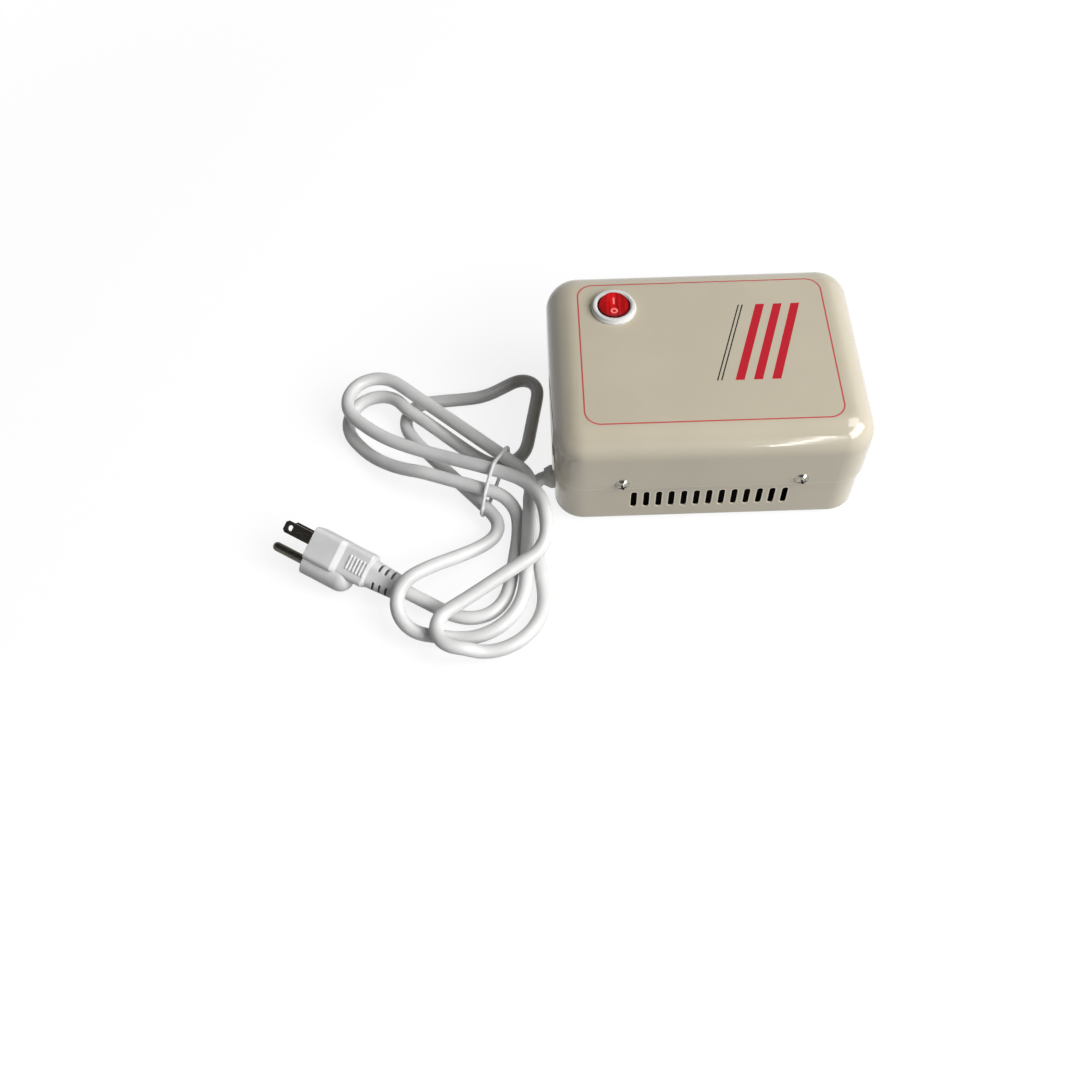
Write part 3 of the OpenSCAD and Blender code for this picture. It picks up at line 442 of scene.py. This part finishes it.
def marks_mask(tree):
    x, y = from_switch(tree)
    stroke = times(tree, band_mask(tree, x, 0.0, STROKE_HALF[0]),
                   band_mask(tree, y, STROKE_Y, STROKE_HALF[1]))
    distance = length_of(tree, x, minus(tree, y, RING_Y))
    return larger(tree, stroke, band_mask(tree, distance, RING_R, RING_HALF_W))


# Finishes
def finish(name, color, roughness, metallic=0.0, tone=(60, 0.06), rub=(90, 0.08), grain=(900, 0.00004),
           coat=0.0, stretch=(1, 1, 1)):
    """A surface whose tone, roughness and grain vary with noise: a scale per metre and a depth for each."""
    mat, tree, bsdf = new_material(name)
    space = stretched(tree, object_space(tree), stretch)
    blotch = remap(tree, noise(tree, space, tone[0]), *NOISE_RANGE, 0.0, 1.0)
    dark, light = rgba(color, 1 - tone[1]), rgba(color, 1 + tone[1])
    put(tree, bsdf.inputs["Base Color"], mix_color(tree, blotch, dark, light))
    worn = noise(tree, space, rub[0], RUB_DETAIL, RUB_ROUGHNESS)
    rubbed = remap(tree, worn, *NOISE_RANGE, roughness - rub[1], roughness + rub[1])
    put(tree, bsdf.inputs["Roughness"], rubbed)
    bump(tree, bsdf, noise(tree, space, grain[0], FINE_DETAIL), grain[1])
    bsdf.inputs["Metallic"].default_value = metallic
    bsdf.inputs["Coat Weight"].default_value = coat
    bsdf.inputs["Coat Roughness"].default_value = COAT_ROUGHNESS
    return mat, tree, bsdf


def plain(name, color, roughness, **looks):
    """A finish with nothing laid over it."""
    return finish(name, color, roughness, **looks)[0]


def enamel(name):
    return finish(name, PAINT, roughness=0.1, tone=(22, 0.025), rub=(45, 0.03), grain=(620, 0.000014),
                  coat=0.4)


def printed_enamel(name):
    """Paint of the cover, with its print and a painted highlight along its lower rim at the seam."""
    mat, tree, bsdf = enamel(name)
    x, y, z = axes_of(tree)
    wear = noise(tree, object_space(tree), PRINT_WEAR_SCALE)
    worn = remap(tree, wear, *PRINT_WEAR_NOISE, *PRINT_WEAR)
    red = larger(tree, border_mask(tree, x, y), bars_mask(tree, x, y))
    tinted(tree, bsdf, times(tree, red, worn), rgba(PRINT_RED))
    tinted(tree, bsdf, times(tree, pinstripes_mask(tree, x, y), worn), rgba(PRINT_BLACK))
    # painted highlight: lighter paint along the lowest half millimetre of the cover
    rim = remap(tree, z, SEAM + SEAM_HIGHLIGHT_H, SEAM + SEAM_HIGHLIGHT_H + PRINT_SOFT, 1.0, 0.0)
    tinted(tree, bsdf, rim, rgba(PAINT, SEAM_HIGHLIGHT_TONE))
    return mat


def vented_enamel(name):
    """Paint of the tray, with a painted shadow below the seam, painted highlights round the slots and
    near-black painted shade on its inside.
    """
    mat, tree, bsdf = enamel(name)
    x, y, z = axes_of(tree)
    # painted shadow: darker paint on the tray just below the cover's lip
    seam_shadow = remap(tree, z, SEAM - SEAM_SHADOW_H, SEAM - SEAM_SHADOW_H / 2, 0.0, 1.0)
    tinted(tree, bsdf, seam_shadow, rgba(PAINT, SEAM_SHADOW_TONE))
    tinted(tree, bsdf, vent_highlight_mask(tree, x, z), rgba(PAINT, VENT_HIGHLIGHT_TONE))
    tinted(tree, bsdf, inner_shade_mask(tree, x, y, z), rgba(INNER_SHADE))
    return mat


def red_lens(name):
    """Clear red moulding over ribs that show as streaks, with painted shade of the gap at its rim, and two
    marks.
    """
    mat, tree, bsdf = new_material(name)
    space = object_space(tree)
    streak = noise(tree, stretched(tree, space, STREAK_STRETCH), STREAK_SCALE, FINE_DETAIL)
    glow = remap(tree, streak, *STREAK_RANGE, 0.0, 1.0)
    put(tree, bsdf.inputs["Base Color"], mix_color(tree, glow, rgba(LENS_DEEP), rgba(LENS_CLEAR)))
    # painted shade: the rim of the rocker turns dark red where the gap falls in shade
    rim = remap(tree, length_of(tree, *from_switch(tree)), LENS_SHADE_FROM, LENS_SHADE_TO, 0.0, 1.0)
    tinted(tree, bsdf, rim, rgba(GAP_SHADE_RED))
    tinted(tree, bsdf, marks_mask(tree), rgba(MARK_PINK))
    rubbed = remap(tree, noise(tree, space, LENS_RUB_SCALE), *NOISE_RANGE, *LENS_ROUGHNESS)
    put(tree, bsdf.inputs["Roughness"], rubbed)
    bsdf.inputs["Coat Weight"].default_value = LENS_COAT
    bsdf.inputs["Specular IOR Level"].default_value = LENS_SPECULAR
    bsdf.inputs["Coat Roughness"].default_value = LENS_COAT_ROUGHNESS
    bump(tree, bsdf, streak, RIB_DEPTH)
    return mat


def screw_plate(name):
    """Bright plating, with painted shade below the dome in the cross of the head."""
    mat, tree, bsdf = finish(name, NICKEL, roughness=0.16, metallic=1.0, tone=(500, 0.1), rub=(1200, 0.06),
                             grain=(3000, 0.00002))
    x, y, z = axes_of(tree)
    across, out = minus(tree, size_of(tree, x), SCREW_X), minus(tree, size_of(tree, y), DOME_Y)
    from_dome = length_of(tree, across, out, minus(tree, z, SCREW_Z))
    # painted shade: dark where the surface lies below the dome, in the cross
    sunk_shade = remap(tree, from_dome, DOME_R - CROSS_SHADE_DEPTH, DOME_R - CROSS_SHADE_EDGE, 1.0, 0.0)
    tinted(tree, bsdf, sunk_shade, rgba(CROSS_SHADE))
    return mat


def white_moulding(name):
    return finish(name, WHITE, roughness=0.24, tone=(200, 0.02), rub=(500, 0.06), grain=(2500, 0.00001),
                  coat=0.3)


def bezel_moulding(name):
    """White moulding, with painted shadow and a painted red reflection of the rocker on the wall of its
    well.
    """
    mat, tree, bsdf = white_moulding(name)
    # painted shadow and painted red reflection on the bezel's inner wall
    well = remap(tree, length_of(tree, *from_switch(tree)), WELL_R, WELL_R + PRINT_SOFT, 1.0, 0.0)
    tinted(tree, bsdf, well, rgba(GAP_SHADE_RED))
    return mat


def plug_moulding(name):
    """Satin moulding with painted shade in the slots of the strain relief, which is found in the plug's own
    axes.
    """
    mat, tree, bsdf = finish(name, PLUG_GREY, roughness=0.48, tone=(90, 0.04), rub=(240, 0.07),
                             grain=(2600, 0.00003))
    local = add(tree, "ShaderNodeMapping", vector_type="TEXTURE")
    put(tree, local.inputs["Vector"], object_space(tree))
    local.inputs["Location"].default_value = TAIL_END
    local.inputs["Rotation"].default_value = (-PLUG_ROLL, -PLUG_RISE, PLUG_HEADING)
    x, y, z = split_axes(tree, local.outputs["Vector"])
    half = [plus(tree, times(tree, x, (root - end) / RELIEF_L), end)
            for end, root in zip(RELIEF_END, RELIEF_ROOT)]
    depth = from_round_rect(tree, y, z, half, RELIEF_EDGE_R)
    sunk_shade = remap(tree, depth, -2 * SLOT_SHADE, -SLOT_SHADE, 1.0, 0.0)
    on_relief = band_mask(tree, x, RELIEF_L / 2, RELIEF_L / 2 - RELIEF_CAP)
    # painted shade inside the slots of the strain relief
    tinted(tree, bsdf, times(tree, sunk_shade, on_relief), rgba(PLUG_GREY, SLOT_SHADE_TONE))
    return mat


nickel = screw_plate("nickel_plate")
steel = plain("zinc_steel", ZINC, roughness=0.42, metallic=1.0, tone=(300, 0.15), rub=(600, 0.1),
              grain=(1500, 0.00003))
blade_metal = plain("blade_metal", BLADE, roughness=0.3, metallic=1.0, tone=(400, 0.18), rub=(700, 0.1),
                    grain=(2500, 0.00003), stretch=(1, 1, 4))
brass = plain("brass", BRASS, roughness=0.34, metallic=1.0, tone=(400, 0.12), rub=(700, 0.1))
core_steel = plain("core_steel", CORE, roughness=0.45, metallic=0.6, tone=(150, 0.25), rub=(300, 0.12),
                   grain=(1000, 0.0001), stretch=(0.2, 6, 0.2))
coil_tape = plain("coil_tape", TAPE, roughness=0.35, tone=(120, 0.1), grain=(700, 0.0001),
                  stretch=(0.3, 0.3, 3))
white_plastic = white_moulding("white_plastic")[0]
black_plastic = plain("black_plastic", BLACK, roughness=0.5, tone=(300, 0.25), rub=(500, 0.08),
                      grain=(2600, 0.00006))
rubber = plain("foot_rubber", RUBBER, roughness=0.75, tone=(200, 0.2), grain=(1800, 0.0001))
cord_sheath = plain("cord_sheath", CORD_GREY, roughness=0.36, tone=(70, 0.04), rub=(160, 0.07),
                    grain=(2200, 0.00003))
tie_plastic = plain("tie_plastic", TIE_WHITE, roughness=0.35, tone=(300, 0.03), grain=(2500, 0.00002))
plug_plastic = plug_moulding("plug_plastic")

FINISHES = {
    "top_cover": printed_enamel("cover_paint"), "base_tray": vented_enamel("tray_paint"),
    "cover_screws": nickel, "press_nuts": steel, "rubber_feet": rubber,
    "switch_body": bezel_moulding("bezel_plastic"), "switch_rocker": red_lens("red_lens"),
    "switch_terminals": brass, "core_laminations": core_steel, "coil_bobbin": black_plastic,
    "coil_winding": coil_tape, "core_clamp": steel, "clamp_bolts": steel, "clamp_nuts": steel,
    "thermal_cutout": black_plastic, "terminal_block": white_plastic, "terminal_screws": brass,
    "earth_stud": steel, "earth_lug": brass, "earth_nut": steel, "outlet_body": black_plastic,
    "outlet_contacts": brass, "cord_gland": plug_plastic, "gland_nut": black_plastic,
    "cord_lead": cord_sheath, "cord_hank": cord_sheath, "cord_tail": cord_sheath, "cord_tie": tie_plastic,
    "plug_body": plug_plastic, "plug_blades": blade_metal, "plug_ground_pin": blade_metal,
}
for node_name, material in FINISHES.items():
    node_materials = nodes[node_name].data.materials
    node_materials.clear()
    node_materials.append(material)


# Route of the cord
def leg_heading(a, b):
    """Heading of the straight leg that leaves one peg and meets the next, each on its own side."""
    dx, dy = b[0] - a[0], b[1] - a[1]
    return math.atan2(dy, dx) + math.asin((a[3] * a[2] - b[3] * b[2]) / math.hypot(dx, dy))


def on_peg(peg, heading, z):
    x, y, radius, turn = peg[:4]
    return Vector((x + turn * radius * math.sin(heading), y - turn * radius * math.cos(heading), z))


def arc_points(peg, before, after):
    """Points round a peg from one heading to the next, or one point where the cord doesn't turn."""
    _, _, radius, side, z_in, z_out = peg
    turn = ((after - before) * side) % math.tau if radius else 0
    if turn > BACK_TURN:
        turn -= math.tau
    if not turn:
        return [on_peg(peg, after, z_out)]
    count = math.ceil(abs(turn) / ARC_STEP)
    return [on_peg(peg, before + side * turn * k / count, z_in + (z_out - z_in) * k / count)
            for k in range(count + 1)]


def leg_points(start, stop):
    """Points between the ends of a leg, with a smooth rise or fall."""
    count = math.ceil((stop - start).xy.length / LEG_STEP)
    points = []
    for k in range(1, count):
        t = k / count
        point = start.lerp(stop, t)
        point.z = start.z + (stop.z - start.z) * t * t * (3 - 2 * t)
        points.append(point)
    return points


def hank_route():
    """Points along the hank, and the headings of its legs."""
    headings = [leg_heading(a, b) for a, b in zip(PEGS[:-1], PEGS[1:])]
    points = []
    for peg, following, before, after in zip(PEGS, PEGS[1:], headings[:1] + headings, headings):
        points += arc_points(peg, before, after)
        points += leg_points(on_peg(peg, after, peg[5]), on_peg(following, after, following[4]))
    points += arc_points(PEGS[-1], headings[-1], headings[-1])
    return points, headings


def level_way(heading):
    return Vector((math.cos(heading), math.sin(heading), 0))


def cord_route():
    """The whole cord: lead, hank and tail, as one list of close points."""
    hank, headings = hank_route()
    first, last = level_way(headings[0]), level_way(headings[-1])
    plug_way = level_way(PLUG_HEADING) * math.cos(PLUG_RISE) + Vector((0, 0, math.sin(PLUG_RISE)))
    lead = [Vector((GLAND_INNER, GLAND_Y, GLAND_Z)), Vector((GLAND_MOUTH, GLAND_Y, GLAND_Z))]
    lead += [Vector(p) for p in LEAD_POINTS] + [hank[0] - first * END_RUN]
    middle = [p for p in hank[1:-1] if min((p - hank[0]).length, (p - hank[-1]).length) > END_CLEAR]
    middle = [hank[0], hank[0] + first * END_RUN] + middle + [hank[-1] - last * END_RUN, hank[-1]]
    tail = [hank[-1] + last * END_RUN] + [Vector(p) for p in TAIL_POINTS]
    tail += [TAIL_END - plug_way * END_RUN, TAIL_END]
    return lead + middle + tail


def smooth_points(points):
    """Close points along a smooth curve through the given ones."""
    fine = []
    for i in range(len(points) - 1):
        a, b = points[i], points[i + 1]
        before = points[i - 1] if i else a
        beyond = points[i + 2] if i + 2 < len(points) else b
        span = (b - a).length
        ta = (b - before).normalized() * span
        tb = (beyond - a).normalized() * span
        count = max(2, math.ceil(span / FINE_STEP))
        for k in range(count):
            t = k / count
            fine.append(a * (2 * t**3 - 3 * t**2 + 1) + ta * (t**3 - 2 * t**2 + t)
                        + b * (3 * t**2 - 2 * t**3) + tb * (t**3 - t**2))
    return fine + [points[-1]]


def even_points(points, step):
    """Points at an even step along a smooth curve through the given ones."""
    fine = smooth_points(points)
    even, left = [fine[0]], step
    for a, b in zip(fine[:-1], fine[1:]):
        span = (b - a).length
        while span >= left:
            a = a.lerp(b, left / span)
            even.append(a.copy())
            span = (b - a).length
            left = step
        left -= span
    if (even[-1] - fine[-1]).length < step / 2:
        even.pop()
    return even + [fine[-1]]


def relaxed(points, rounds):
    """Softens the change from arc to straight; two points at each end stay."""
    for _ in range(rounds):
        inner = [(a + 2 * b + c) / 4 for a, b, c in zip(points[:-2], points[1:-1], points[2:])]
        points = points[:2] + inner[1:-1] + points[-2:]
    return points


def wire(name, points, radius, mat, fineness, closed=False):
    """A round wire along the points, as a curve."""
    curve = bpy.data.curves.new(name, "CURVE")
    curve.dimensions = "3D"
    curve.bevel_depth = radius
    curve.bevel_resolution = fineness
    curve.use_fill_caps = not closed
    spline = curve.splines.new("POLY")
    spline.points.add(len(points) - 1)
    for target, point in zip(spline.points, points):
        target.co = (*point, 1.0)
    spline.use_cyclic_u = closed
    spline.use_smooth = True
    curve.materials.append(mat)
    piece = bpy.data.objects.new(name, curve)
    bpy.context.scene.collection.objects.link(piece)
    return piece


route = relaxed(even_points(cord_route(), CORD_STEP), CORD_ROUNDS)
cord = wire("mains_cord", route, CORD_R, cord_sheath, CORD_FINENESS)


# Tie: a coated wire drawn round the runs that cross its plane
def convex_hull(points):
    points = sorted(set(points))

    def half(order):
        chain = []
        for p in order:
            while len(chain) > 1 and ((chain[-1][0] - chain[-2][0]) * (p[1] - chain[-2][1])
                                      <= (chain[-1][1] - chain[-2][1]) * (p[0] - chain[-2][0])):
                chain.pop()
            chain.append(p)
        return chain[:-1]

    return half(points) + half(points[::-1])


def tie_points():
    along = level_way(TIE_HEADING)
    across = Vector((-along.y, along.x, 0))
    runs = []
    for a, b in zip(route[:-1], route[1:]):
        near, far = (a - TIE_AT).dot(along), (b - TIE_AT).dot(along)
        side = (b - TIE_AT).dot(across)
        if near * far <= 0 and abs(side) < TIE_REACH and b.z > TIE_FLOOR:
            runs.append((side, b.z))
    reach = CORD_R + TIE_GAP + TIE_WIRE_R
    turns = [k * math.tau / TIE_FACETS for k in range(TIE_FACETS)]
    rims = [(side + reach * math.cos(turn), z + reach * math.sin(turn))
            for side, z in runs for turn in turns]
    return [TIE_AT + across * side + Vector((0, 0, z)) for side, z in convex_hull(rims)]


hull_points = tie_points()
loop_points = even_points(hull_points + hull_points[:1], TIE_STEP)[:-1]
tie = wire("wire_tie", loop_points, TIE_WIRE_R, tie_plastic, TIE_FINENESS, closed=True)


# Plug: the moulded body with soft edges, remeshed from its solid
def softened(name, node, voxel, rounds, mat):
    piece = bpy.data.objects.new(name, nodes[node].data.copy())
    bpy.context.scene.collection.objects.link(piece)
    remesh = piece.modifiers.new("even_grid", "REMESH")
    remesh.mode = "VOXEL"
    remesh.voxel_size = voxel
    soften = piece.modifiers.new("soft_edges", "SMOOTH")
    soften.factor = PLUG_SOFTENING
    soften.iterations = rounds
    depsgraph = bpy.context.evaluated_depsgraph_get()
    mesh = bpy.data.meshes.new_from_object(piece.evaluated_get(depsgraph))
    piece.modifiers.clear()
    piece.data = mesh
    mesh.materials.clear()
    mesh.materials.append(mat)
    for polygon in mesh.polygons:
        polygon.use_smooth = True
    return piece


plug = softened("moulded_plug", "plug_body", PLUG_VOXEL, PLUG_ROUNDS, plug_plastic)

for piece in (cord, tie, plug):
    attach(piece, CASE)
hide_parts("cord_lead", "cord_hank", "cord_tail")
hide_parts("cord_tie")
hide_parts("plug_body")

# Floor: its size, its grey for the light and for the eye, and its glow near the object and far from it
FLOOR_HALF = 3.0
FLOOR_GREY = (0.12, 0.12, 0.12, 1)
FLOOR_SEEN = (0.2, 0.2, 0.2, 1)
FULL_WHITE = (1, 1, 1, 1)
GLOW_NEAR = 0.85
GLOW_FAR = 1.0
GLOW_FROM = 0.35
GLOW_TO = 1.2


def seen_directly(tree):
    """1 for what shows to the eye, also mirrored or through glass, and 0 for light that falls on things."""
    path = add(tree, "ShaderNodeLightPath")
    either = larger(tree, path.outputs["Is Camera Ray"], path.outputs["Is Glossy Ray"])
    return larger(tree, either, path.outputs["Is Transmission Ray"])


def white_floor():
    """A pale floor that shows white but keeps the shadow."""
    mat, tree, bsdf = new_material("studio_floor")
    tree.nodes.remove(bsdf)
    plain = add(tree, "ShaderNodeBsdfDiffuse")
    plain.inputs["Color"].default_value = FLOOR_GREY
    seen = add(tree, "ShaderNodeBsdfDiffuse")
    seen.inputs["Color"].default_value = FLOOR_SEEN
    glow = add(tree, "ShaderNodeEmission")
    glow.inputs["Color"].default_value = FULL_WHITE
    x, y, _ = axes_of(tree)
    strength = remap(tree, length_of(tree, x, y), GLOW_FROM, GLOW_TO, GLOW_NEAR, GLOW_FAR)
    put(tree, glow.inputs["Strength"], strength)
    both = add(tree, "ShaderNodeAddShader")
    tree.links.new(seen.outputs[0], both.inputs[0])
    tree.links.new(glow.outputs[0], both.inputs[1])
    choice = add(tree, "ShaderNodeMixShader")
    put(tree, choice.inputs[0], seen_directly(tree))
    tree.links.new(plain.outputs[0], choice.inputs[1])
    tree.links.new(both.outputs[0], choice.inputs[2])
    tree.links.new(choice.outputs[0], tree.nodes["Material Output"].inputs["Surface"])
    return mat


floor_mesh = bpy.data.meshes.new("studio_floor")
floor_mesh.from_pydata([(-FLOOR_HALF, -FLOOR_HALF, 0), (FLOOR_HALF, -FLOOR_HALF, 0),
                        (FLOOR_HALF, FLOOR_HALF, 0), (-FLOOR_HALF, FLOOR_HALF, 0)], [], [(0, 1, 2, 3)])
floor_mesh.materials.append(white_floor())
floor = bpy.data.objects.new("studio_floor", floor_mesh)
bpy.context.scene.collection.objects.link(floor)

# White backdrop up to a dim ceiling, as the sine of the height above the horizon, and light from all round
BACKDROP_END = 0.35
CEILING_START = 0.7
CEILING_GREY = 0.18
AMBIENT = 0.11

world = bpy.data.worlds.new("studio")
bpy.context.scene.world = world
world.use_nodes = True
sky = world.node_tree
ambient = sky.nodes["Background"]
ambient.inputs["Color"].default_value = FULL_WHITE
ambient.inputs["Strength"].default_value = AMBIENT
_, _, height = split_axes(sky, add(sky, "ShaderNodeTexCoord").outputs["Generated"])
white = add(sky, "ShaderNodeBackground")
white.inputs["Color"].default_value = FULL_WHITE
put(sky, white.inputs["Strength"], remap(sky, height, BACKDROP_END, CEILING_START, 1.0, CEILING_GREY))
chosen = add(sky, "ShaderNodeMixShader")
put(sky, chosen.inputs[0], seen_directly(sky))
sky.links.new(ambient.outputs[0], chosen.inputs[1])
sky.links.new(white.outputs[0], chosen.inputs[2])
sky.links.new(chosen.outputs[0], sky.nodes["World Output"].inputs["Surface"])

# Soft lights: place, the point that each faces, width and height, power, and the way that its height runs
UPRIGHT = (0, 0, 1)
LEANING_BACK = (0.066, 0.253, 0.615)
LIGHTS = {
    "window": ((1.184, -0.704, 0.968), (0, 0, 0.04), (1.6, 0.8), 30.0, UPRIGHT),
    "strip": ((0.41, -1.572, 0.64), (0.04, -0.05, 0.06), (0.024, 1.07), 1.6, LEANING_BACK),
    "ceiling": ((1.05, 0.0, 1.7), (-0.05, 0, 0.0), (1.1, 0.96), 15.0, UPRIGHT),
}


def soft_light(name, at, towards, size, power, along):
    """A panel that faces a point, with its height along the given way."""
    lamp = bpy.data.lights.new(name, "AREA")
    lamp.shape = "RECTANGLE"
    lamp.size, lamp.size_y = size
    lamp.energy = power
    facing = (Vector(at) - Vector(towards)).normalized()
    side = Vector(along).cross(facing).normalized()
    turned = Matrix((side, facing.cross(side), facing)).transposed()
    holder = bpy.data.objects.new(name, lamp)
    holder.matrix_world = Matrix.Translation(at) @ turned.to_4x4()
    bpy.context.scene.collection.objects.link(holder)


for light_name, light in LIGHTS.items():
    soft_light(light_name, *light)

# Camera at the photograph's angle: place, way of sight, turn about it, and lens in millimetres
CAMERA_AT = Vector((-0.0871, -0.4053, 0.5238))
CAMERA_AZIMUTH = math.radians(-0.15)
CAMERA_ELEVATION = math.radians(57.22)
CAMERA_ROLL = math.radians(1.74)
SENSOR_W = 36
FOCAL_LENGTH = 40.34
CLIP_START = 0.01

back = Vector((math.sin(CAMERA_AZIMUTH) * math.cos(CAMERA_ELEVATION),
               -math.cos(CAMERA_AZIMUTH) * math.cos(CAMERA_ELEVATION), math.sin(CAMERA_ELEVATION)))
right = level_way(CAMERA_AZIMUTH)
up = back.cross(right)
cos_roll, sin_roll = math.cos(CAMERA_ROLL), math.sin(CAMERA_ROLL)
rolled = Matrix((right * cos_roll - up * sin_roll, right * sin_roll + up * cos_roll, back)).transposed()
lens = bpy.data.cameras.new("view")
lens.sensor_width = SENSOR_W
lens.lens = FOCAL_LENGTH
lens.clip_start = CLIP_START
camera = bpy.data.objects.new("view", lens)
camera.matrix_world = Matrix.Translation(CAMERA_AT) @ rolled.to_4x4()
bpy.context.scene.collection.objects.link(camera)
bpy.context.scene.camera = camera
bpy.context.scene.view_settings.view_transform = "Standard"

bpy.context.view_layer.update()
